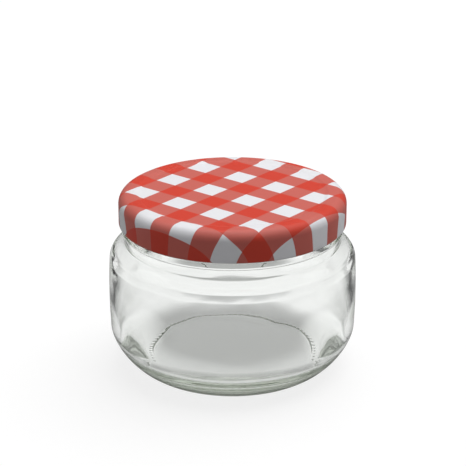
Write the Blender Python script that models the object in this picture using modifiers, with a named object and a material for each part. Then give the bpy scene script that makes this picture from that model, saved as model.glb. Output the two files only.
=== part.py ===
"""Squat round jar of clear glass, shut with a metal twist-off lid.

Two pieces: the glass jar and the pressed tinplate lid. Both are turned about
the Z axis. The jar stands on its bearing ring at z = 0, under its own middle.
Sizes below are in millimetres and MM turns them into metres.
"""
import math

import bpy

MM = 0.001
SIDES = 64            # flats around one turn
FULL = 2.0 * math.pi

# Lid: a regular 82 mm twist-off cap, about 85 mm across
LID_R = 42.5          # outside radius of the skirt
LID_TOP = 68.1        # height of the rim of the lid above the table
LID_TALL = 11.9       # rim down to the lower edge
SHEET = 0.4           # thickness of the tinplate with its lacquer
PANEL_R = 34.0        # flat middle panel
PANEL_DROP = 0.45     # the panel lies this much under the rim
STEP_W = 2.2          # width of the slope between panel and rim
EDGE_R = 3.8          # rounding between rim and skirt
CURL_R = 1.05         # lower edge, rolled inwards
LUGS = 6              # lugs of the lid, and thread starts of the glass
LUG_IN = 39.6         # how far in the lugs reach

# Glass, outside
BODY_R = 46.58        # widest radius
BODY_WIDEST = 29.4    # height of the widest place
BODY_BULGE = 0.84     # how much the wall draws in over 20 mm
HEEL_R = 32.6         # the bearing ring ends here
HEEL_TALL = 15.8      # the heel blends into the wall here
HEEL_POWER = 1.46     # under 2: a flat slanting heel
SHOULDER_LOW = 42.7
SHOULDER_TOP = 48.3
NECK_R = 40.5
BEAD_R = 41.4         # ring just under the lid
BEAD_TOP = 55.6
BEAD_NOSE = 54.1       # its widest place
BEAD_LOW = 53.4
BEAD_LEAN = 0.8       # its upper face leans in by this much
NECK_FROM = 50.1      # the neck is straight above this, and bends out below
NECK_CORNER = 48.7    # height that it bends towards
NECK_BLEND = 4.2      # and how far out the bend reaches
FINISH_R = 39.2       # wall that carries the thread
GLASS_TOP = 67.4
LIP_R = 0.9           # rounding of the mouth
THREAD_R = 40.05      # crest of the thread
THREAD_TURN = 46.0    # degrees that one thread runs
THREAD_HIGH = 61.0
THREAD_LOW = 59.6

# Glass, inside
BORE_R = 36.9
NECK_IN_R = 38.3
NECK_IN_FROM = 48.6    # the same bend on the inside
NECK_IN_CORNER = 46.9
NECK_IN_BLEND = 5.0
BORE_FROM = 55.6      # the inside draws in to the bore from here
BORE_TO = 58.4
WALL = 2.2            # thickness of the side wall
FLOOR_R = 28.5        # nearly flat middle of the floor
FLOOR_Z = 6.0
FLOOR_RISE = 1.5      # the floor is this much higher in the middle
HEEL_IN_TALL = 13.0
HEEL_IN_POWER = 2.2

# Underside
RING_IN_R = 31.0      # inner edge of the bearing ring
PUSH_R = 30.2
PUSH_EDGE = 0.55      # hollow of the underside at its edge
PUSH_MID = 1.4        # and in the middle


def arc(cx, cz, radius, start, end, count):
    """Points (r, z) on a circle in the profile plane, angles in degrees from +r towards +z."""
    points = []
    for i in range(count + 1):
        a = math.radians(start + (end - start) * i / count)
        points.append((cx + radius * math.cos(a), cz + radius * math.sin(a)))
    return points


def quarter(inner, outer, low, high, power, count, foot):
    """Quarter of a superellipse between two radii and two heights.

    With foot True it is level at the low end and upright at the high end,
    as a heel is. Otherwise it is upright below and level above, as a
    shoulder is. The points run upwards.
    """
    points = []
    for i in range(count + 1):
        a = 0.5 * math.pi * i / count
        s = math.sin(a) ** (2.0 / power)
        c = max(math.cos(a), 0.0) ** (2.0 / power)
        if foot:
            points.append((inner + (outer - inner) * s, low + (high - low) * (1.0 - c)))
        else:
            points.append((inner + (outer - inner) * c, low + (high - low) * s))
    return points


def blend(start, corner, end, count):
    """Bend from start towards a corner and away to the end, without the two ends."""
    points = []
    for i in range(1, count):
        t = i / count
        points.append(tuple((1 - t) ** 2 * a + 2 * t * (1 - t) * b + t ** 2 * c
                            for a, b, c in zip(start, corner, end)))
    return points


def body_radius(z):
    """Outside radius of the slightly swelling side wall."""
    return BODY_R - BODY_BULGE * ((z - BODY_WIDEST) / 20.0) ** 2


def jar_profile():
    """From the middle of the floor up the inside, over the lip, down the outside and under."""
    inside_r = body_radius(BODY_WIDEST) - WALL
    points = [(0.0, FLOOR_Z + FLOOR_RISE), (0.55 * FLOOR_R, FLOOR_Z + 0.65 * FLOOR_RISE)]
    points += quarter(FLOOR_R, inside_r - 0.25, FLOOR_Z, HEEL_IN_TALL, HEEL_IN_POWER, 7, True)
    points += [(inside_r, 30.0)]
    vault = quarter(NECK_IN_R, inside_r - 0.35, SHOULDER_LOW - 1.2, SHOULDER_TOP - 0.4,
                    2.0, 8, False)
    points += [p for p in vault if p[0] > NECK_IN_R + NECK_IN_BLEND]
    points += blend(points[-1], (NECK_IN_R, NECK_IN_CORNER), (NECK_IN_R, NECK_IN_FROM), 5)
    points += [(NECK_IN_R, NECK_IN_FROM), (NECK_IN_R, BORE_FROM), (BORE_R, BORE_TO)]
    points += arc(BORE_R + LIP_R, GLASS_TOP - LIP_R, LIP_R, 180, 90, 3)
    points += arc(FINISH_R - LIP_R, GLASS_TOP - LIP_R, LIP_R, 90, 0, 3)
    points += [(FINISH_R, BEAD_TOP + 0.5), (BEAD_R - BEAD_LEAN, BEAD_TOP + 0.1)]
    points += [(BEAD_R - 0.05, BEAD_NOSE + 0.25), (BEAD_R - 0.05, BEAD_NOSE - 0.3)]
    points += [(NECK_R + 0.4, BEAD_LOW), (NECK_R, BEAD_LOW - 0.5), (NECK_R, NECK_FROM)]
    shoulder = quarter(NECK_R + 0.3, body_radius(SHOULDER_LOW), SHOULDER_LOW, SHOULDER_TOP,
                       1.9, 7, False)
    shoulder = [p for p in reversed(shoulder) if p[0] > NECK_R + NECK_BLEND]
    points += blend(points[-1], (NECK_R, NECK_CORNER), shoulder[0], 6) + shoulder
    points += [(body_radius(z), z) for z in (36.0, 29.4, 22.5)]
    heel = quarter(HEEL_R, body_radius(HEEL_TALL), 0.0, HEEL_TALL, HEEL_POWER, 9, True)
    points += reversed(heel)
    points += [(RING_IN_R + 0.4, 0.0), (RING_IN_R, 0.2), (PUSH_R, PUSH_EDGE)]
    points += [(0.5 * PUSH_R, 0.5 * (PUSH_EDGE + PUSH_MID) + 0.35), (0.0, PUSH_MID)]
    return points


def lid_profile():
    """From the middle of the top out, down the skirt, round the curl and back under the sheet."""
    low = LID_TOP - LID_TALL
    curl_x = LID_R - CURL_R
    curl_z = low + CURL_R
    skirt_in = LID_R - SHEET
    points = [(0.0, LID_TOP - PANEL_DROP), (PANEL_R, LID_TOP - PANEL_DROP)]
    points += [(PANEL_R + 0.5 * STEP_W, LID_TOP - 0.5 * PANEL_DROP), (PANEL_R + STEP_W, LID_TOP)]
    points += arc(LID_R - EDGE_R, LID_TOP - EDGE_R, EDGE_R, 90, 0, 6)
    points += arc(curl_x, curl_z, CURL_R, 0, -270, 9)
    points[-1] = (skirt_in - 0.55, curl_z + CURL_R - 0.15)
    points += [(skirt_in, curl_z + CURL_R + 0.35)]
    points += arc(LID_R - EDGE_R, LID_TOP - EDGE_R, EDGE_R - SHEET, 0, 90, 4)
    points += [(PANEL_R + STEP_W, LID_TOP - SHEET)]
    points += [(PANEL_R, LID_TOP - PANEL_DROP - SHEET), (0.0, LID_TOP - PANEL_DROP - SHEET)]
    return points


def material(name, colour, roughness, metallic, transmission=0.0, ior=1.5):
    """Principled material, with the same colour in the viewport."""
    made = bpy.data.materials.new(name)
    made.use_nodes = True
    shader = made.node_tree.nodes["Principled BSDF"]
    shader.inputs["Base Color"].default_value = (*colour, 1.0)
    shader.inputs["Roughness"].default_value = roughness
    shader.inputs["Metallic"].default_value = metallic
    shader.inputs["Transmission Weight"].default_value = transmission
    shader.inputs["IOR"].default_value = ior
    made.diffuse_color = (*colour, 1.0)
    return made


def turned(name, profile, collection, look):
    """Object made by turning a profile of (r, z) points about the Z axis."""
    mesh = bpy.data.meshes.new(name)
    verts = [(r * MM, 0.0, z * MM) for r, z in profile]
    edges = [(i, i + 1) for i in range(len(verts) - 1)]
    mesh.from_pydata(verts, edges, [])
    made = bpy.data.objects.new(name, mesh)
    collection.objects.link(made)
    made.data.materials.append(look)
    screw = made.modifiers.new("Turn", "SCREW")
    screw.axis = "Z"
    screw.angle = FULL
    screw.steps = SIDES
    screw.render_steps = SIDES
    screw.use_merge_vertices = True
    screw.merge_threshold = 0.0001
    screw.use_smooth_shade = True
    return made


def curved_bar(name, start, end, sections, collection):
    """Closed bar that runs round the axis, lofted through cross-sections.

    sections is a list of (share of the run, root radius, crest radius,
    middle height, half height at the root, half height at the crest).
    """
    verts = []
    faces = []
    for share, root, crest, middle, half_root, half_crest in sections:
        a = math.radians(start + (end - start) * share)
        ring = [(root, middle - half_root), (crest, middle - half_crest),
                (crest, middle + half_crest), (root, middle + half_root)]
        verts += [(r * MM * math.cos(a), r * MM * math.sin(a), z * MM) for r, z in ring]
    for s in range(len(sections) - 1):
        for k in range(4):
            n = (k + 1) % 4
            faces.append((4 * s + k, 4 * s + n, 4 * s + 4 + n, 4 * s + 4 + k))
    last = 4 * (len(sections) - 1)
    faces.append((3, 2, 1, 0))
    faces.append((last, last + 1, last + 2, last + 3))
    mesh = bpy.data.meshes.new(name)
    mesh.from_pydata(verts, [], [tuple(reversed(f)) for f in faces])
    made = bpy.data.objects.new(name, mesh)
    collection.objects.link(made)
    made.hide_render = True
    made.display_type = "WIRE"
    return made


def thread_sections(count=8):
    """One thread of the glass: it fades in, slopes down and fades out."""
    sections = []
    for i in range(count + 1):
        t = i / count
        fade = min(1.0, 5.0 * min(t, 1.0 - t) + 0.05)
        crest = FINISH_R + (THREAD_R - FINISH_R) * fade - 0.25 * (1.0 - fade)
        middle = THREAD_HIGH + (THREAD_LOW - THREAD_HIGH) * t
        sections.append((t, FINISH_R - 1.1, crest, middle, 1.35, 0.5))
    return sections


def lug_sections():
    """One lug of the lid: a pad pressed in from the curl."""
    low = LID_TOP - LID_TALL
    middle = low + CURL_R
    out = LID_R - CURL_R
    crest_in = LUG_IN
    fade_in = LID_R - 2.0 * CURL_R + 0.12
    return [(0.0, out, fade_in, middle, 0.62, 0.45), (0.25, out, crest_in, middle, 0.8, 0.5),
            (0.75, out, crest_in, middle, 0.8, 0.5), (1.0, out, fade_in, middle, 0.62, 0.45)]


def join_to(target, piece):
    """Boolean union of a piece with a turned body."""
    union = target.modifiers.new("Join " + piece.name, "BOOLEAN")
    union.operation = "UNION"
    union.solver = "EXACT"
    union.object = piece


def build():
    for old in list(bpy.data.objects):
        bpy.data.objects.remove(old, do_unlink=True)

    scene = bpy.context.scene
    parts = bpy.data.collections.new("screw-top jar")
    helpers = bpy.data.collections.new("joined pieces")
    scene.collection.children.link(parts)
    scene.collection.children.link(helpers)

    glass = material("clear_glass", (0.93, 0.96, 0.94), 0.03, 0.0, transmission=1.0, ior=1.52)
    tin = material("checked_tinplate", (0.80, 0.20, 0.16), 0.32, 0.0)

    jar = turned("jar", jar_profile(), parts, glass)
    lid = turned("lid", lid_profile(), parts, tin)

    for i in range(LUGS):
        start = 360.0 / LUGS * i + 4.0
        thread = curved_bar("thread_%d" % (i + 1), start, start + THREAD_TURN,
                            thread_sections(), helpers)
        join_to(jar, thread)
        middle = 360.0 / LUGS * i + 27.0
        lug = curved_bar("lug_%d" % (i + 1), middle - 7.0, middle + 7.0,
                         lug_sections(), helpers)
        join_to(lid, lug)


build()
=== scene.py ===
# %% [markdown]
# A squat jar of clear glass with a checked tinplate lid.
# The real jar is blown in an iron mould and the real lid is pressed from a flat printed sheet, so both are
# round forms about one upright line. The solids from the CAD are loaded first. They fix the place and the
# size of everything, and each finer piece made below stands in for one of them.

import math

import bpy
import numpy as np
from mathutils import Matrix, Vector


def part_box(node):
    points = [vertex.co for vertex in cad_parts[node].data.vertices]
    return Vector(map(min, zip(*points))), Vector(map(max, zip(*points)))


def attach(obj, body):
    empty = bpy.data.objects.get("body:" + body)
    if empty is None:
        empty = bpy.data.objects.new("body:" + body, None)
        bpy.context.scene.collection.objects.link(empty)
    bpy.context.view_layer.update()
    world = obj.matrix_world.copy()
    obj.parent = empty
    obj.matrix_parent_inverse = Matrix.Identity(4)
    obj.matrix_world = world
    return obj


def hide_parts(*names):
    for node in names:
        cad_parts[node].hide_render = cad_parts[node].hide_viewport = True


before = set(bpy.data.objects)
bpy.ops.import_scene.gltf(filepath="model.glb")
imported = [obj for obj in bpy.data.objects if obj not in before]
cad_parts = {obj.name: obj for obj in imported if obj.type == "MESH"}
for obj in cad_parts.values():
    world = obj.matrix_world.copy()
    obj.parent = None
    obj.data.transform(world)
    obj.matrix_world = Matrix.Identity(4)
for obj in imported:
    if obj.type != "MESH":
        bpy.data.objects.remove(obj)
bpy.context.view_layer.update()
MM = 0.001
lid_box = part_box("lid")
jar_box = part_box("jar")
print("jar", [round(v / MM, 1) for v in jar_box[1] - jar_box[0]], "mm, lid",
      [round(v / MM, 1) for v in lid_box[1] - lid_box[0]], "mm")

# %% [markdown]
# It stands 0.7 m from the jar and looks down by a little over 21 degrees. A long lens keeps the rings of
# the jar as near-equal ellipses. The picture is square, so a lens in pixels becomes one in millimetres by
# the sensor's width.

# %% Camera
CAMERA_TILT = math.radians(21.4)
CAMERA_AWAY = 700.0
AIM_HEIGHT = 51.6
FOCAL_PX = 1867.0
PICTURE_PX = 466.0
SENSOR = 36.0
LEFT_OF_MIDDLE_PX = 0.5

camera_data = bpy.data.cameras.new("photo camera")
camera_data.sensor_width = SENSOR
camera_data.lens = FOCAL_PX / PICTURE_PX * SENSOR
camera_data.shift_x = LEFT_OF_MIDDLE_PX / PICTURE_PX
camera = bpy.data.objects.new("photo camera", camera_data)
camera.location = (0.0, -CAMERA_AWAY * math.cos(CAMERA_TILT) * MM,
                   (AIM_HEIGHT + CAMERA_AWAY * math.sin(CAMERA_TILT)) * MM)
camera.rotation_euler = (math.pi / 2 - CAMERA_TILT, 0.0, 0.0)
bpy.context.scene.collection.objects.link(camera)
bpy.context.scene.camera = camera
print("lens", round(camera_data.lens, 1), "mm, camera at", [round(v, 3) for v in camera.location])

# %% [markdown]
# A round piece is drawn as half of its section: a line of (distance from the middle, height) points, in
# millimetres. Five helpers draw such lines: a piece of a circle, a quarter of a superellipse for heels and
# shoulders, one wide bend, a path whose corners are rounded to a radius each, as a mould maker would break
# every corner, and a straight run.

# %% Helpers for sections
def arc(cx, cz, radius, start, end, count):
    """Points on a circle, angles in degrees from outwards towards up."""
    turn = np.radians(np.linspace(start, end, count + 1))
    return [(cx + radius * math.cos(a), cz + radius * math.sin(a)) for a in turn]


def quarter(inner, outer, low, high, power, count, foot):
    """Quarter of a superellipse, running upwards. A foot is level below, a shoulder is level above."""
    points = []
    for a in np.linspace(0.0, math.pi / 2, count + 1):
        s = math.sin(a) ** (2.0 / power)
        c = max(math.cos(a), 0.0) ** (2.0 / power)
        if foot:
            points.append((inner + (outer - inner) * s, low + (high - low) * (1.0 - c)))
        else:
            points.append((inner + (outer - inner) * c, low + (high - low) * s))
    return points


def bend(start, corner, end, t):
    """Place at share t of a bend that leaves start towards a corner and turns away to its end."""
    return tuple((1 - t) ** 2 * a + 2 * t * (1 - t) * b + t ** 2 * c for a, b, c in zip(start, corner, end))


def blend(start, corner, end, count):
    """One wide bend, without its two ends."""
    return [bend(start, corner, end, t) for t in np.linspace(0.0, 1.0, count + 1)[1:-1]]


def rounded(corners, steps):
    """Path through (r, z, rounding) corners, each corner replaced by a bend of that rounding."""
    most = 0.48
    points = [corners[0][:2]]
    for before, here, after in zip(corners, corners[1:], corners[2:]):
        corner = Vector(here[:2])
        to_before = Vector(before[:2]) - corner
        to_after = Vector(after[:2]) - corner
        half = to_before.angle(to_after) / 2.0
        cut = min(here[2] / math.tan(half), most * to_before.length, most * to_after.length)
        start = corner + to_before.normalized() * cut
        end = corner + to_after.normalized() * cut
        points += [bend(start, corner, end, t) for t in np.linspace(0.0, 1.0, steps + 1)]
    points.append(corners[-1][:2])
    return points


def straight(start, end, count):
    """Evenly spread points between two ends, without the ends."""
    return [(start[0] + (end[0] - start[0]) * i / count, start[1] + (end[1] - start[1]) * i / count)
            for i in range(1, count)]


print("section helpers ready: arc, quarter, bend, blend, rounded, straight")

# %% [markdown]
# The glass, outside. From the top down: the threaded finish inside the lid, a bead right under the lid, a
# short neck, a shoulder, a wall that swells by less than a millimetre, a slanting heel and the bearing ring
# that the jar stands on. It could be a Screw modifier on the section, as in the CAD. Here the points are
# placed in code, so that each ring can also carry the thread, the knurl and the slight waves of real glass.

# %% Wall and heel
BODY_R = jar_box[1].x / MM
BODY_WIDEST = 29.4
BODY_BULGE = 0.84
BULGE_SPAN = 20.0
SHOULDER_LOW = 42.7
HEEL_R = 32.6
HEEL_TALL = 15.8
HEEL_POWER = 1.46


def body_radius(z):
    """Outside radius of the swelling wall."""
    return BODY_R - BODY_BULGE * ((z - BODY_WIDEST) / BULGE_SPAN) ** 2


wall = [(body_radius(z), z) for z in np.linspace(SHOULDER_LOW, HEEL_TALL, 14)[1:-1]]
heel = quarter(HEEL_R, body_radius(HEEL_TALL), 0.0, HEEL_TALL, HEEL_POWER, 26, foot=True)[::-1]
print("wall draws in to", round(body_radius(HEEL_TALL), 2), "mm at the heel")

# %% Bead, neck and shoulder
FINISH_R = 39.2
BEAD_R = 41.4
BEAD_TOP = 55.6
BEAD_NOSE = 54.1
BEAD_LOW = 53.4
BEAD_LEAN = 0.8
NECK_R = 40.5
NECK_FROM = 50.1
NECK_CORNER = 48.7
NECK_BLEND = 4.2
SHOULDER_TOP = 48.3
SHOULDER_POWER = 1.9

bead = rounded([
    (FINISH_R, BEAD_TOP + 0.8, 0.0),
    (FINISH_R, BEAD_TOP + 0.3, 0.4),            # foot of the finish
    (BEAD_R - BEAD_LEAN, BEAD_TOP + 0.1, 0.4),  # upper edge of the bead
    (BEAD_R, BEAD_NOSE, 0.35),                  # nose
    (BEAD_R - 0.2, BEAD_LOW + 0.1, 0.3),        # lower edge
    (NECK_R, BEAD_LOW - 0.3, 0.8),              # back in to the neck
    (NECK_R, NECK_FROM, 0.0),
], 5)
shoulder_from = NECK_R + 0.3
shoulder_to = body_radius(SHOULDER_LOW)
shoulder = quarter(shoulder_from, shoulder_to, SHOULDER_LOW, SHOULDER_TOP, SHOULDER_POWER, 24, foot=False)
shoulder = [p for p in reversed(shoulder) if p[0] > NECK_R + NECK_BLEND]
bead += blend(bead[-1], (NECK_R, NECK_CORNER), shoulder[0], 16)
print("bead and neck:", len(bead), "points, shoulder:", len(shoulder))

# %% [markdown]
# The inside is a smoother copy of the outside, thicker at the heel and the floor, because the glass is
# pressed and blown into a cold mould and stays thick where it touches first. How thick it is shows in the
# photo only by its optics: the width of the grey edges, the grey arc at the neck and the place of the ring
# under the floor. The floor rises a little in the middle, and the underside is hollow, so that the jar
# stands on its ring alone.

# %% Inside of the glass
WALL = 2.2
INSIDE_DRAW = 0.28
INSIDE_WIDEST = 30.0
INSIDE_SPAN = 11.0
FLOOR_R = 28.5
FLOOR_Z = 6.0
FLOOR_RISE = 1.5
HEEL_IN_TALL = 13.0
HEEL_IN_POWER = 2.2
VAULT_LOW = SHOULDER_LOW - 1.2
VAULT_TOP = SHOULDER_TOP - 0.4
VAULT_POWER = 2.0
NECK_IN_R = 38.3
NECK_IN_FROM = 48.6
NECK_IN_CORNER = 46.9
NECK_IN_BLEND = 5.0


def wall_inside(z):
    """Inside radius of the wall, which draws in a little above and below its middle."""
    return BODY_R - WALL - INSIDE_DRAW * ((z - INSIDE_WIDEST) / INSIDE_SPAN) ** 2


inside = [(r, FLOOR_Z + FLOOR_RISE * (1.0 - (r / FLOOR_R) ** 2)) for r in np.linspace(0.0, FLOOR_R, 9)[:-1]]
inside += quarter(FLOOR_R, wall_inside(HEEL_IN_TALL), FLOOR_Z, HEEL_IN_TALL, HEEL_IN_POWER, 26, foot=True)
inside += [(wall_inside(z), z) for z in np.linspace(HEEL_IN_TALL, VAULT_LOW, 12)[1:-1]]
vault = quarter(NECK_IN_R, wall_inside(VAULT_LOW), VAULT_LOW, VAULT_TOP, VAULT_POWER, 24, foot=False)
inside += [p for p in vault if p[0] > NECK_IN_R + NECK_IN_BLEND]
inside += blend(inside[-1], (NECK_IN_R, NECK_IN_CORNER), (NECK_IN_R, NECK_IN_FROM), 16)
print("wall", round(body_radius(BODY_WIDEST) - wall_inside(BODY_WIDEST), 2), "mm thick at its middle")

# %% Mouth
GLASS_TOP = jar_box[1].z / MM
LIP_R = 0.9
BORE_R = 36.9
BORE_FROM = BEAD_TOP
BORE_TO = 58.4

lip_z = GLASS_TOP - LIP_R
bore = rounded([
    (NECK_IN_R, NECK_IN_FROM, 0.0),
    (NECK_IN_R, BORE_FROM, 2.5),  # end of the neck, level with the top of the bead
    (BORE_R, BORE_TO, 4.0),       # start of the narrower mouth
    (BORE_R, lip_z - 2.0, 0.0),
], 6)
lip = arc(BORE_R + LIP_R, lip_z, LIP_R, 180, 90, 6) + arc(FINISH_R - LIP_R, lip_z, LIP_R, 90, 0, 6)
finish = straight((FINISH_R, lip_z), (FINISH_R, BEAD_TOP + 0.9), 20)
print("mouth", round(2 * BORE_R, 1), "mm wide")

# %% Underside, and the whole section
RING_IN_R = 31.0
PUSH_R = 30.2
PUSH_EDGE = 0.55
PUSH_MID = 1.4

ring_end = (RING_IN_R + 0.6, 0.0)
ring = straight((HEEL_R, 0.0), ring_end, 8)
under = rounded([
    (*ring_end, 0.0),
    (RING_IN_R, 0.25, 0.5),                 # inner edge of the ring
    (PUSH_R, PUSH_EDGE, 2.0),               # edge of the hollow
    (0.5 * PUSH_R, PUSH_MID - 0.35, 30.0),  # its slow rise
    (0.0, PUSH_MID, 0.0),
], 6)
glass_section = np.array(inside + bore + lip + finish + bead + shoulder + wall + heel + ring + under)
section_r = glass_section[:, 0]
section_z = glass_section[:, 1]
print("glass section:", len(glass_section), "points")

# %% [markdown]
# Turning a section into a mesh: every point becomes a ring of corners, and the two ends on the middle line
# become one corner each. The function takes the radius and height of every corner as a table, so that a ring
# needn't be a perfect circle.

# %% Turn a table of rings into a mesh
def turned_mesh(name, radius, height):
    """Mesh from tables [point of the section, step round the turn], in millimetres."""
    rings, steps = radius.shape
    angle = np.arange(steps) * 2.0 * math.pi / steps
    x = radius * np.cos(angle)
    y = radius * np.sin(angle)
    inner = np.stack([x[1:-1], y[1:-1], height[1:-1]], -1).reshape(-1, 3)
    verts = np.vstack([[0.0, 0.0, height[0, 0]], inner, [0.0, 0.0, height[-1, 0]]]) * MM
    index = 1 + np.arange((rings - 2) * steps).reshape(rings - 2, steps)
    after = np.roll(index, -1, axis=1)
    quads = np.stack([index[:-1], index[1:], after[1:], after[:-1]], -1).reshape(-1, 4)
    last = len(verts) - 1
    faces = [(0, int(a), int(b)) for a, b in zip(index[0], after[0])]
    faces += [tuple(int(v) for v in q) for q in quads]
    faces += [(int(a), last, int(b)) for a, b in zip(index[-1], after[-1])]
    mesh = bpy.data.meshes.new(name)
    mesh.from_pydata(verts.tolist(), [], faces)
    mesh.shade_smooth()
    made = bpy.data.objects.new(name, mesh)
    bpy.context.scene.collection.objects.link(made)
    return made


def ring_tables(section, steps):
    """Angle of each step of the turn, and the radius and height of every corner of a round piece."""
    angle = np.arange(steps) * 2.0 * math.pi / steps
    return angle, np.repeat(section[:, :1], steps, axis=1), np.repeat(section[:, 1:], steps, axis=1)


def hump(x):
    """Smooth hill: 1 at zero, 0 from one outwards."""
    x = np.clip(np.abs(x), 0.0, 1.0)
    return (1.0 - x * x) ** 2


def degrees_past(angle, place):
    """How many degrees each angle of the turn lies past a place on it, from -180 to 180."""
    return (np.degrees(angle) - place + 180.0) % 360.0 - 180.0


print("turning helpers ready")

# %% [markdown]
# Thread. The finish carries six short threads that slope down to the right, one for each lug of the lid.
# Each one fades in and out, so that a lug can slide under it. They are raised by moving corners of the mesh
# out, which keeps the glass one closed skin, as light needs it.

# %% Thread of the glass
STEPS = 400
THREADS = 6
THREAD_TALL = 0.85
THREAD_HALF = 1.35
THREAD_FLAT = 0.6
THREAD_HIGH = 61.0
THREAD_DROP = 1.4
THREAD_START = 4.0
THREAD_TURN = 46.0
THREAD_FADES = 6.0

turn, glass_r, glass_z = ring_tables(glass_section, STEPS)
for k in range(THREADS):
    along = degrees_past(turn, THREAD_START + 360.0 / THREADS * k) / THREAD_TURN
    fade = np.clip(THREAD_FADES * np.minimum(along, 1.0 - along), 0.0, 1.0)
    middle = THREAD_HIGH - THREAD_DROP * along
    rise = THREAD_TALL * fade * hump((glass_z - middle) / THREAD_HALF) ** THREAD_FLAT
    on_finish = np.abs(glass_r - FINISH_R) < 0.01
    glass_r = np.where(on_finish, glass_r + rise, glass_r)
print("thread crest", round(float(glass_r[np.abs(section_r - FINISH_R) < 0.01].max()), 2), "mm")

# %% [markdown]
# Knurl. The bearing ring carries small raised dots, which keep the hot glass off the belt and stop the jar
# from sliding on a wet table. Through the thick heel they show as a line of light and dark specks. The ring
# is lifted by the height of the dots first, and then let down again at each dot.

# %% Knurl of the bearing ring
KNURLS = 80
KNURL_TALL = 0.22
KNURL_MIDDLE = 32.0
KNURL_HALF = 0.75
KNURL_SHARE = 0.42
RING_TALL = 0.3

across = hump((section_r - KNURL_MIDDLE) / KNURL_HALF) * (section_z < RING_TALL)
dots = hump(((turn * KNURLS / (2.0 * math.pi)) % 1.0 - 0.5) / KNURL_SHARE)
low = (section_z < KNURL_TALL)[:, None]
lifted = np.maximum(glass_z, KNURL_TALL) - KNURL_TALL * across[:, None] * dots[None, :]
glass_z = np.where(low, np.maximum(lifted, 0.0), glass_z)
print("knurl stands at", round(float(glass_z.min()), 3), "mm")

# %% [markdown]
# Blown glass is never quite even: the mould gives the outside its shape, but the inside is left to the air,
# so it waves by a few hundredths of a millimetre. That is what makes the light crawl along the edges of a
# jar. A sum of a few sine waves round and up the wall gives such an unevenness, the same on every run. The
# outside gets a quarter of it, inwards only, so that the jar stays inside its solid.

# %% Waves
WAVES = [(2, 0.045, 0.6, 0.060), (5, -0.07, 2.1, 0.035), (9, 0.11, 4.0, 0.020), (14, -0.16, 1.2, 0.012),
         (23, 0.21, 5.3, 0.006), (31, -0.33, 3.3, 0.004)]
OUTSIDE_SHARE = 0.25
OUTSIDE_SHIFT = 7.0
CALM_R = 30.0
CALM_HEEL_POINTS = 3


def waves(z):
    """Unevenness in millimetres for each corner, from waves (times round, per mm, phase, height)."""
    total = np.zeros_like(z)
    for times, rate, phase, tall in WAVES:
        total += tall * np.sin(times * turn + 2.0 * math.pi * rate * z + phase)
    return total


is_inside = np.arange(len(glass_section)) < len(inside)
is_outside = np.zeros(len(glass_section), bool)
first_outside = len(inside) + len(bore) + len(lip) + len(finish) + len(bead)
is_outside[first_outside:first_outside + len(shoulder) + len(wall) + len(heel) - CALM_HEEL_POINTS] = True
calm = np.clip(section_r / CALM_R, 0.0, 1.0)[:, None]
glass_r += np.where(is_inside[:, None], waves(glass_z) * calm, 0.0)
glass_r += np.where(is_outside[:, None], -np.abs(OUTSIDE_SHARE * waves(glass_z + OUTSIDE_SHIFT)), 0.0)
glass_r[[0, -1]] = 0.0
glass_jar = turned_mesh("glass_jar", glass_r, glass_z)
print("glass jar:", len(glass_jar.data.polygons), "faces")

# %% [markdown]
# The lid. A press draws it from a flat disc of tinplate less than 0.2 mm thick: first the panel, then the
# rounded rim and the skirt, and last the edge is rolled inwards. It is drawn as one closed section, down the
# printed outside, round the roll and back under the sheet. The sheet is made thicker than the real one,
# which no view shows.

# %% Outside of the lid
LID_R = lid_box[1].x / MM
LID_TOP = lid_box[1].z / MM
PANEL_R = 34.0
PANEL_DROP = 0.45
STEP_W = 2.2
EDGE_R = 3.8
CURL_R = 1.05
PRINT_ENDS = -38.0

curl_x = LID_R - CURL_R
curl_z = lid_box[0].z / MM + CURL_R
edge_x = LID_R - EDGE_R
edge_z = LID_TOP - EDGE_R


def step(rim, count):
    """Smooth slope from the panel out and up to the rim."""
    points = []
    for t in np.linspace(0.0, 1.0, count + 1):
        lift = PANEL_DROP * (0.5 - 0.5 * math.cos(math.pi * t))
        points.append((PANEL_R + STEP_W * t, rim - PANEL_DROP + lift))
    return points


top = [(r, LID_TOP - PANEL_DROP) for r in np.linspace(0.0, PANEL_R, 18)[:-1]] + step(LID_TOP, 8)
top += arc(edge_x, edge_z, EDGE_R, 90, 0, 16)
skirt = straight((LID_R, edge_z), (LID_R, curl_z), 10)
curl_out = arc(curl_x, curl_z, CURL_R, 0.0, PRINT_ENDS, 5)
printed_points = len(top) + len(skirt) + len(curl_out)
print("lid", round(2 * LID_R, 1), "mm wide, printed points:", printed_points)

# %% Roll and inside of the lid
SHEET = 0.3
ROLL_ENDS = -262.0

sheet_in = LID_R - SHEET
sheet_low = curl_z + CURL_R
curl_in = arc(curl_x, curl_z, CURL_R, PRINT_ENDS, ROLL_ENDS, 20)[1:]
back = [(sheet_in - 0.25, sheet_low + 0.1)]
back += straight((sheet_in, sheet_low + 0.4), (sheet_in, edge_z), 5)
back += arc(edge_x, edge_z, EDGE_R - SHEET, 0, 90, 10) + step(LID_TOP - SHEET, 6)[::-1]
back += [(r, LID_TOP - PANEL_DROP - SHEET) for r in np.linspace(PANEL_R, 0.0, 6)[1:]]
lid_section = np.array(top + skirt + curl_out + curl_in + back)
lid_x = lid_section[:, 0]
lid_height = lid_section[:, 1]
print("lid section:", len(lid_section), "points")

# %% [markdown]
# Lugs. At six places the roll is crushed inwards into a lug that hooks under a thread. Corners of the roll
# move in there, the more the further in they already are, so the outside of the skirt stays round.

# %% Mesh of the lid with its lugs
LID_STEPS = 288
LUG_IN = 39.6
LUG_MIDDLE = 27.0
LUG_HALF_DEG = 7.5
LUG_FLAT = 1.6

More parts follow.
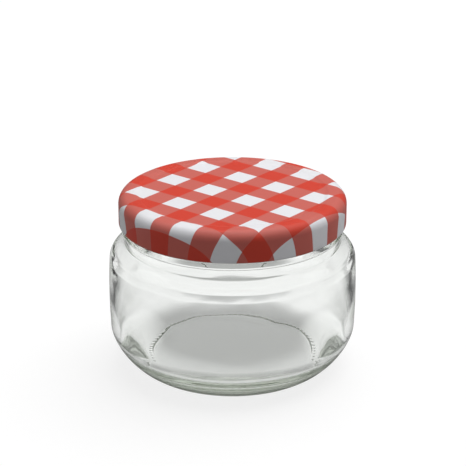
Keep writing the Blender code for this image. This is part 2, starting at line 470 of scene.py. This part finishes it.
lid_turn, lid_r, lid_z = ring_tables(lid_section, LID_STEPS)
on_curl = np.zeros(len(lid_section), bool)
on_curl[printed_points:printed_points + len(curl_in)] = True
inwards = np.where(on_curl, np.clip((curl_x + 0.2 - lid_x) / CURL_R, 0.0, 1.0), 0.0)
lug_deep = LID_R - 2.0 * CURL_R - LUG_IN
for k in range(THREADS):
    from_middle = degrees_past(lid_turn, LUG_MIDDLE + 360.0 / THREADS * k)
    lug = np.clip(LUG_FLAT * hump(from_middle / LUG_HALF_DEG), 0.0, 1.0)
    lid_r = lid_r - lug_deep * inwards[:, None] * lug[None, :]
twist_off_lid = turned_mesh("twist_off_lid", lid_r, lid_z)
print("lid:", len(twist_off_lid.data.polygons), "faces, lugs", round(lug_deep, 2), "mm deep")

# %% [markdown]
# The check was printed while the sheet was flat, so it is drawn out where the metal was. A corner of the
# mesh gets as its UV the place that it had on the flat sheet. On the panel that is simply where it lies.
# Over the rim and down the skirt the metal stretches: the skirt's lower half comes from a narrower ring of
# the sheet, so its squares end up long and their sides bend. One UV unit is one repeat of the check.

# %% Where each ring lay on the flat sheet
DRAW_RIM = 0.865
DRAW_HIGH = 1.014
DRAW_LOW = 0.485
DRAW_FROM = 3.0
DRAW_SPAN = 8.0

run = np.hypot(*np.diff(lid_section, axis=0).T)
mid_r = 0.5 * (lid_x[1:] + lid_x[:-1])
depth = LID_TOP - 0.5 * (lid_height[1:] + lid_height[:-1])
down = np.clip((depth - DRAW_FROM) / DRAW_SPAN, 0.0, 1.0)
skirt_draw = DRAW_HIGH + (DRAW_LOW - DRAW_HIGH) * down
draw = np.where(mid_r < edge_x, 1.0, np.where(depth < EDGE_R, DRAW_RIM, skirt_draw))
flat_r = np.concatenate([[0.0], np.cumsum(run * draw)])
flat_r[printed_points:] = flat_r[printed_points - 1]
print("the sheet was", round(2 * float(flat_r[printed_points - 1]), 1), "mm across the print")

# %% Write the check's UV map
PITCH = 17.96
CHECK_TURN = math.radians(51.27)
CHECK_U = -2.69
CHECK_V = 9.54

lid_mesh = twist_off_lid.data
ring_of = np.zeros(len(lid_mesh.vertices), int)
ring_of[1:-1] = 1 + np.arange(len(lid_mesh.vertices) - 2) // LID_STEPS
ring_of[-1] = len(lid_section) - 1
co = np.zeros(len(lid_mesh.vertices) * 3)
lid_mesh.vertices.foreach_get("co", co)
co = co.reshape(-1, 3)
direction = np.arctan2(co[:, 1], co[:, 0])
flat = flat_r[ring_of][:, None] * np.stack([np.cos(direction), np.sin(direction)], -1)
cu, su = math.cos(CHECK_TURN), math.sin(CHECK_TURN)
check = np.stack([flat @ (cu, su) - CHECK_U, flat @ (su, -cu) - CHECK_V], -1) / PITCH
corner_vertex = np.zeros(len(lid_mesh.loops), int)
lid_mesh.loops.foreach_get("vertex_index", corner_vertex)
print_map = lid_mesh.uv_layers.new(name="flat_sheet")
print_map.uv.foreach_set("vector", check[corner_vertex].astype(np.float32).ravel())
print("check map: repeats from", np.round(check.min(0), 2), "to", np.round(check.max(0), 2))

# %% Give the inside its own material slot
PRINTED = 0
LACQUERED = 1

highest_ring = [int(ring_of[list(p.vertices)].max()) for p in lid_mesh.polygons]
side_of = [PRINTED if h < printed_points else LACQUERED for h in highest_ring]
lid_mesh.polygons.foreach_set("material_index", side_of)
print("printed faces:", side_of.count(PRINTED), "of", len(side_of))

# %% [markdown]
# Finishes are built from shader nodes. Six helpers keep each finish short: an empty material, a socket that
# takes a wire or a number, a node with its settings, a sum, a mix of two colours, and the wire to the
# output.

# %% Small helpers for shader nodes
def new_material(name):
    """Empty material and its node tree."""
    made = bpy.data.materials.new(name)
    made.use_nodes = True
    tree = made.node_tree
    tree.nodes.clear()
    return made, tree


def feed(tree, socket, value):
    """Wire a socket to another, or set it to a number or colour."""
    if isinstance(value, bpy.types.NodeSocket):
        tree.links.new(value, socket)
    else:
        socket.default_value = value


def add(tree, kind, **settings):
    """Node with its settings. A number or colour goes to the socket of that name."""
    node = tree.nodes.new(kind)
    for key, value in settings.items():
        if hasattr(node, key):
            setattr(node, key, value)
        else:
            node.inputs[key.replace("_", " ")].default_value = value
    return node


def maths(tree, operation, a, b=0.0, clamp=False):
    """Maths node fed by sockets or numbers."""
    node = tree.nodes.new("ShaderNodeMath")
    node.operation = operation
    node.use_clamp = clamp
    feed(tree, node.inputs[0], a)
    feed(tree, node.inputs[1], b)
    return node.outputs[0]


def mix_colours(tree, amount, under, over):
    """Colour mix fed by sockets or colours."""
    node = tree.nodes.new("ShaderNodeMix")
    node.data_type = "RGBA"
    for socket, value in zip((node.inputs[0], node.inputs[6], node.inputs[7]), (amount, under, over)):
        feed(tree, socket, value)
    return node.outputs[2]


def put_out(tree, surface, kind="ShaderNodeOutputMaterial"):
    """Output node, wired to a shader."""
    out = add(tree, kind)
    tree.links.new(surface, out.inputs["Surface"])
    return out


print("shader helpers ready")

# %% [markdown]
# Print of the lid: white lacquer, then two see-through red inks, one for each direction of stripes, and a
# clear gloss varnish. Where one ink lies the white shines through and the red is light. Where both lie it is
# deep. In the shader each direction is a ping-pong wave of one UV coordinate, cut into stripe and gap, and
# the inks are laid over the white one after the other. A picture of a check would blur when seen from near,
# and a wave won't.

# %% Checked print
WHITE_LACQUER = (0.84, 0.84, 0.87, 1.0)
ONE_INK = (0.62, 0.145, 0.117, 1.0)
BOTH_INKS = (0.670, 0.060, 0.034, 1.0)
GAP = 9.10
EDGE_SOFT = 0.006
GLOSS_ROUGH = 0.38
GLOSS_LEVEL = 0.24
VARNISH = 0.10
VARNISH_ROUGH = 0.18

gap_half = 0.5 * GAP / PITCH
checked, tree = new_material("checked print")
place = add(tree, "ShaderNodeUVMap", uv_map="flat_sheet")
parts = add(tree, "ShaderNodeSeparateXYZ")
tree.links.new(place.outputs["UV"], parts.inputs[0])
inks = []
for name in ("X", "Y"):
    away = maths(tree, "PINGPONG", parts.outputs[name], 0.5)
    past_gap = maths(tree, "SUBTRACT", away, gap_half - EDGE_SOFT)
    inks.append(maths(tree, "MULTIPLY", past_gap, 0.5 / EDGE_SOFT, clamp=True))
any_ink = maths(tree, "MAXIMUM", inks[0], inks[1])
both_inks = maths(tree, "MULTIPLY", inks[0], inks[1])
light_red = mix_colours(tree, any_ink, WHITE_LACQUER, ONE_INK)
printed = mix_colours(tree, both_inks, light_red, BOTH_INKS)
shader = add(tree, "ShaderNodeBsdfPrincipled", Metallic=0.0, Roughness=GLOSS_ROUGH,
             Specular_IOR_Level=GLOSS_LEVEL, Coat_Weight=VARNISH, Coat_Roughness=VARNISH_ROUGH)
tree.links.new(printed, shader.inputs["Base Color"])
put_out(tree, shader.outputs[0])
print("checked print: gap", round(2 * gap_half, 3), "of a repeat")

# %% [markdown]
# Inside and rolled edge of the lid: a plain white lacquer, baked on before the press. It is a little warmer
# than the print's white and faintly speckled.

# %% White lacquer
LACQUER_ROUGH = 0.35
LACQUER_DARK = (0.78, 0.77, 0.74, 1.0)
LACQUER_LIGHT = (0.84, 0.83, 0.81, 1.0)
SPECKLES_PER_METRE = 900.0

lacquer, tree = new_material("white lacquer")
shader = add(tree, "ShaderNodeBsdfPrincipled", Roughness=LACQUER_ROUGH)
speckle = add(tree, "ShaderNodeTexNoise", Scale=SPECKLES_PER_METRE, Detail=2.0)
where = add(tree, "ShaderNodeTexCoord")
tree.links.new(where.outputs["Object"], speckle.inputs["Vector"])
tone = mix_colours(tree, speckle.outputs["Fac"], LACQUER_DARK, LACQUER_LIGHT)
tree.links.new(tone, shader.inputs["Base Color"])
put_out(tree, shader.outputs[0])
lid_mesh.materials.append(checked)
lid_mesh.materials.append(lacquer)
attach(twist_off_lid, "root")
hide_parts("lid")
print("lid rides on root and stands for the node lid")

# %% [markdown]
# Finish of the glass: clear, very smooth, and faintly green because of iron in the sand. A tint on the
# surface would colour thin and thick places alike. Absorption inside the glass colours light by the way it
# runs through it, so the thin wall stays clear and the thick heel turns grey green, as on the real jar.
# Where the glass is seen nearly edge on, a slight grey is painted on its surface: painted shade that darkens
# the edges of the jar.

# %% Clear glass
GLASS_IOR = 1.52
ABSORB_COLOUR = (0.56, 0.70, 0.46, 1.0)
ABSORB_DENSITY = 6.0
FACE_TINT = (0.985, 0.992, 0.986, 1.0)
# Painted shade: the grey laid on the glass where it is seen nearly edge on, to darken its edges.
PAINTED_EDGE_SHADE = (0.66, 0.67, 0.66, 1.0)
EDGE_FROM = 0.66
EDGE_FULL = 0.88

clear, tree = new_material("clear glass")
shader = add(tree, "ShaderNodeBsdfPrincipled", Roughness=0.0, IOR=GLASS_IOR, Transmission_Weight=1.0)
slant = add(tree, "ShaderNodeLayerWeight", Blend=0.5)
grazing = add(tree, "ShaderNodeMapRange", interpolation_type="SMOOTHSTEP",
              From_Min=EDGE_FROM, From_Max=EDGE_FULL)
tree.links.new(slant.outputs["Facing"], grazing.inputs["Value"])
tint = mix_colours(tree, grazing.outputs["Result"], FACE_TINT, PAINTED_EDGE_SHADE)
tree.links.new(tint, shader.inputs["Base Color"])
absorb = add(tree, "ShaderNodeVolumeAbsorption", Color=ABSORB_COLOUR, Density=ABSORB_DENSITY)
out = put_out(tree, shader.outputs[0])
tree.links.new(absorb.outputs[0], out.inputs["Volume"])
glass_jar.data.materials.append(clear)
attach(glass_jar, "root")
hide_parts("jar")
print("glass rides on root and stands for the node jar")

# %% [markdown]
# The studio: a wide pale floor, one big soft lamp high behind the jar, a sheet of light overhead and a room
# around it, all in metres. Lit from behind, clear glass is bright inside, the top of the lid is light and
# its skirt is in shade. The floor is white paper. To the eye of the camera it is washed out to an even
# white, with a faint shadow left in it. What the glass bends is the paper with light and shade painted on
# it: a painted shadow in an oval under and behind the jar, painted light at both sides of the foot, where
# the walls would gather light, and a dark card laid on it to the left and another to the right. The cards
# draw the grey edges of the jar, as a photographer of glass would do it: light seen at the edge has run
# round in the wall and comes from the side, where the card lies.

# %% Sheet of the floor
FLOOR_SIZE = 6.0


def grey(value):
    """Neutral colour."""
    return (value, value, value, 1.0)


def pick(tree, which, otherwise, chosen):
    """The chosen number where the socket says one, and the other where it says nought."""
    node = tree.nodes.new("ShaderNodeMix")
    for socket, value in zip((node.inputs[0], node.inputs[2], node.inputs[3]), (which, otherwise, chosen)):
        feed(tree, socket, value)
    return node.outputs[0]


edge = FLOOR_SIZE / 2
floor_mesh = bpy.data.meshes.new("studio_floor")
floor_mesh.from_pydata([(-edge, -edge, 0.0), (edge, -edge, 0.0), (edge, edge, 0.0), (-edge, edge, 0.0)], [],
                       [(0, 1, 2, 3)])
studio_floor = bpy.data.objects.new("studio_floor", floor_mesh)
bpy.context.scene.collection.objects.link(studio_floor)
paper, tree = new_material("white paper floor")
place = add(tree, "ShaderNodeTexCoord")
parts = add(tree, "ShaderNodeSeparateXYZ")
tree.links.new(place.outputs["Object"], parts.inputs[0])
sideways = maths(tree, "ABSOLUTE", parts.outputs["X"])
print("floor", FLOOR_SIZE, "m wide")

# %% Dark cards at both sides
CARD_FROM = 0.076
CARD_TO = 0.140
CARD_SOFT = 0.012


def beyond(tree, distance, border):
    """Nought before a border and one beyond it, over a soft edge."""
    gone = maths(tree, "SUBTRACT", distance, border - CARD_SOFT)
    return maths(tree, "MULTIPLY", gone, 0.5 / CARD_SOFT, clamp=True)


past_start = beyond(tree, sideways, CARD_FROM)
past_end = beyond(tree, sideways, CARD_TO)
on_card = maths(tree, "SUBTRACT", past_start, past_end)
print("cards", round((CARD_TO - CARD_FROM) / MM), "mm wide")

# %% Painted oval shadow of the jar
# Painted shadow: inside this oval under and behind the jar, the paper that the glass shows is darker.
SHADE_MIDDLE = 0.019
SHADE_WIDE = 0.026
SHADE_LONG = 0.026
SHADE_FADE = 1.5

oval = add(tree, "ShaderNodeMapping", vector_type="TEXTURE", Location=(0.0, SHADE_MIDDLE, 0.0),
           Scale=(SHADE_WIDE, SHADE_LONG, 1.0))
tree.links.new(place.outputs["Object"], oval.inputs["Vector"])
reach = add(tree, "ShaderNodeVectorMath", operation="LENGTH")
tree.links.new(oval.outputs["Vector"], reach.inputs[0])
out_of_shade = add(tree, "ShaderNodeMapRange", interpolation_type="SMOOTHSTEP",
                   From_Min=1.0, From_Max=SHADE_FADE)
tree.links.new(reach.outputs["Value"], out_of_shade.inputs["Value"])
print("shade reaches", round((SHADE_MIDDLE + SHADE_LONG * SHADE_FADE) / MM), "mm behind the middle")

# %% Painted light beside the foot
# Painted light: a patch of brighter paper at each side of the foot, seen only through the glass, where the
# walls would gather light.
GLOW_SIDE = 0.044
GLOW_BACK = 0.012
GLOW_WIDE = 0.018
GLOW_LONG = 0.034

from_glow = maths(tree, "DIVIDE", maths(tree, "SUBTRACT", sideways, GLOW_SIDE), GLOW_WIDE)
along_glow = maths(tree, "DIVIDE", maths(tree, "SUBTRACT", parts.outputs["Y"], GLOW_BACK), GLOW_LONG)
spread = maths(tree, "ADD", maths(tree, "POWER", from_glow, 2.0), maths(tree, "POWER", along_glow, 2.0))
gathered = maths(tree, "SUBTRACT", 1.0, spread, clamp=True)
print("gathered light", round(GLOW_SIDE / MM), "mm to each side")

# %% [markdown]
# Each kind of place on the floor has two numbers: how much light it scatters, and how much it glows by
# itself. The first follows the real shadow, and the second lifts it, as a bright studio would. Light Path
# tells who is looking: the camera, a diffuse ray from the lid, a mirrored one from the glass, or, if none of
# these, a ray that came through the glass. Only the last one sees the painted shadow, the painted light and
# the cards.

# %% White paper
# Painted shadow: SHADED is the paper inside the oval.
SHADED = (0.25, 0.42)
SEEN = (0.30, 0.68)
# Painted light: GATHERED is the paper beside the foot.
GATHERED = (0.30, 0.98)
CARD = (0.07, 0.0)
MIRRORED = (0.20, 0.0)
BOUNCED = (0.25, 0.0)
CAMERA = (0.22, 0.80)

path = add(tree, "ShaderNodeLightPath")
levels = []
for k in (0, 1):
    level = pick(tree, out_of_shade.outputs["Result"], SHADED[k], SEEN[k])
    level = pick(tree, gathered, level, GATHERED[k])
    level = pick(tree, on_card, level, CARD[k])
    level = pick(tree, path.outputs["Is Reflection Ray"], level, MIRRORED[k])
    level = pick(tree, path.outputs["Is Diffuse Ray"], level, BOUNCED[k])
    levels.append(pick(tree, path.outputs["Is Camera Ray"], level, CAMERA[k]))
scattered = add(tree, "ShaderNodeBsdfDiffuse")
own = add(tree, "ShaderNodeEmission")
tree.links.new(levels[0], scattered.inputs["Color"])
tree.links.new(levels[1], own.inputs["Strength"])
both = add(tree, "ShaderNodeAddShader")
tree.links.new(scattered.outputs[0], both.inputs[0])
tree.links.new(own.outputs[0], both.inputs[1])
put_out(tree, both.outputs[0])
floor_mesh.materials.append(paper)
print("paper scatters", SEEN[0], "and glows", SEEN[1], "outside the shade")

# %% [markdown]
# The softbox lights the lid and the floor from high behind and a little from the right, where the photo's
# skirt is brighter. Glass doesn't show it: its small hard picture would burn out on the shoulder.

# %% Softbox
LAMP_SIZE = 1.3
LAMP_AWAY = 1.25
LAMP_SIDE = 0.25
LAMP_LIFT = math.radians(74.0)
LAMP_POWER = 17.4
LAMP_AIM = 0.03


def area_light(name, size, power, place):
    """Square sheet of light at a place, shining down. Glass lets none of its rays through."""
    data = bpy.data.lights.new(name, "AREA")
    data.shape = "SQUARE"
    data.size = size
    data.energy = power
    made = bpy.data.objects.new(name, data)
    made.location = place
    made.visible_transmission = False
    bpy.context.scene.collection.objects.link(made)
    return made


lamp = area_light("softbox", LAMP_SIZE, LAMP_POWER,
                  (LAMP_SIDE, LAMP_AWAY * math.cos(LAMP_LIFT), LAMP_AWAY * math.sin(LAMP_LIFT)))
to_jar = Vector((0.0, 0.0, LAMP_AIM)) - lamp.location
lamp.rotation_euler = to_jar.to_track_quat("-Z", "Y").to_euler()
lamp.visible_glossy = False
print("softbox", LAMP_POWER, "W")

# %% [markdown]
# The sheet of light overhead gives sheen only: a pale veil on the lacquer and the bright line on the
# shoulder.

# %% Sheet of light overhead
SHEEN_SIZE = 2.0
SHEEN_HIGH = 1.0
SHEEN_FORWARD = -0.2
SHEEN_POWER = 9.0

sheen = area_light("ceiling", SHEEN_SIZE, SHEEN_POWER, (0.0, SHEEN_FORWARD, SHEEN_HIGH))
sheen.visible_diffuse = False
print("ceiling light", SHEEN_POWER, "W, for sheen only")

# %% [markdown]
# The room is brighter behind the jar than beside it, and the skirt of the lid is lit more from both sides
# than from the front. Light passes many surfaces in thick glass, so many are allowed.

# %% Surrounding
ROOM_BEHIND = 0.85
ROOM_SIDE = 0.50
ROOM_HIGH = 0.30
ROOM_MIRRORED = 0.12
ROOM_LIT_FRONT = 0.02
ROOM_LIT_SIDE = 0.50
RISE_BEHIND = 1.5
RISE_UP = 1.6
RISE_SIDES = 1.2
GLASS_BOUNCES = 24

scene = bpy.context.scene
world = bpy.data.worlds.new("studio")
scene.world = world
world.use_nodes = True
tree = world.node_tree
tree.nodes.clear()
where = add(tree, "ShaderNodeTexCoord")
parts = add(tree, "ShaderNodeSeparateXYZ")
tree.links.new(where.outputs["Generated"], parts.inputs[0])
behind = maths(tree, "MULTIPLY", parts.outputs["Y"], RISE_BEHIND, clamp=True)
upwards = maths(tree, "MULTIPLY", parts.outputs["Z"], RISE_UP, clamp=True)
sides = maths(tree, "MULTIPLY", maths(tree, "ABSOLUTE", parts.outputs["X"]), RISE_SIDES, clamp=True)
path = add(tree, "ShaderNodeLightPath")
level = pick(tree, upwards, pick(tree, behind, ROOM_SIDE, ROOM_BEHIND), ROOM_HIGH)
level = pick(tree, path.outputs["Is Reflection Ray"], level, ROOM_MIRRORED)
level = pick(tree, path.outputs["Is Diffuse Ray"], level, pick(tree, sides, ROOM_LIT_FRONT, ROOM_LIT_SIDE))
level = pick(tree, path.outputs["Is Camera Ray"], level, 1.0)
glow = add(tree, "ShaderNodeBackground", Color=grey(1.0))
tree.links.new(level, glow.inputs["Strength"])
put_out(tree, glow.outputs[0], "ShaderNodeOutputWorld")
scene.view_settings.view_transform = "Standard"
for kind in ("max_bounces", "glossy_bounces", "transmission_bounces"):
    setattr(scene.cycles, kind, GLASS_BOUNCES)
print("surrounding set, light may pass", GLASS_BOUNCES, "surfaces")
